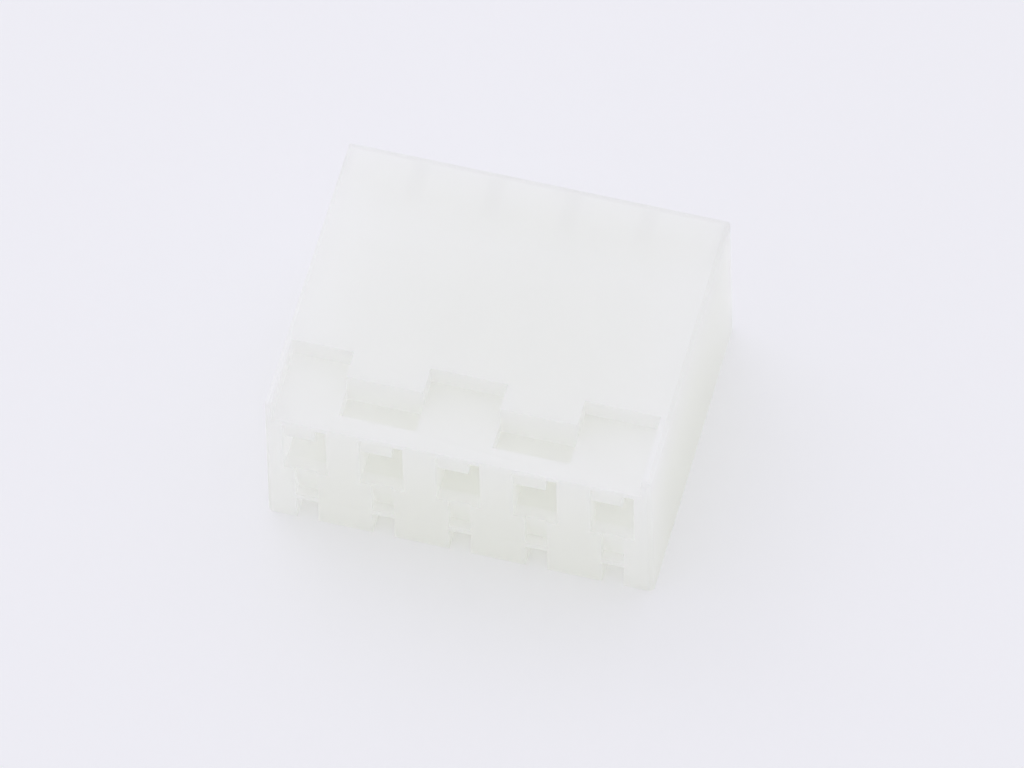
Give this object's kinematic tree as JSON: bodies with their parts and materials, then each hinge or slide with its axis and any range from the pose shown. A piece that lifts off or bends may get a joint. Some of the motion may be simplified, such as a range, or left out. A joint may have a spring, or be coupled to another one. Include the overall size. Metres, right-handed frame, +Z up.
{
  "type": "wire-to-board crimp connector housing",
  "caption": "Block-shaped nylon socket housing for a row of crimped wire contacts, with a stepped latch deck and pockets at the mating end and wire entries at the back.",
  "frame": {"origin": "middle of the underside", "axes": "+X along the row of circuits, -Y out of the mating face, +Y towards the wires, +Z up through the latch side"},
  "size_m": [0.02, 0.0164, 0.0098],
  "materials": {
    "nylon": "satin moulded natural nylon, milky and slightly translucent"
  },
  "bodies": {
    "root": {"housing": "nylon"}
  },
  "joints": []
}
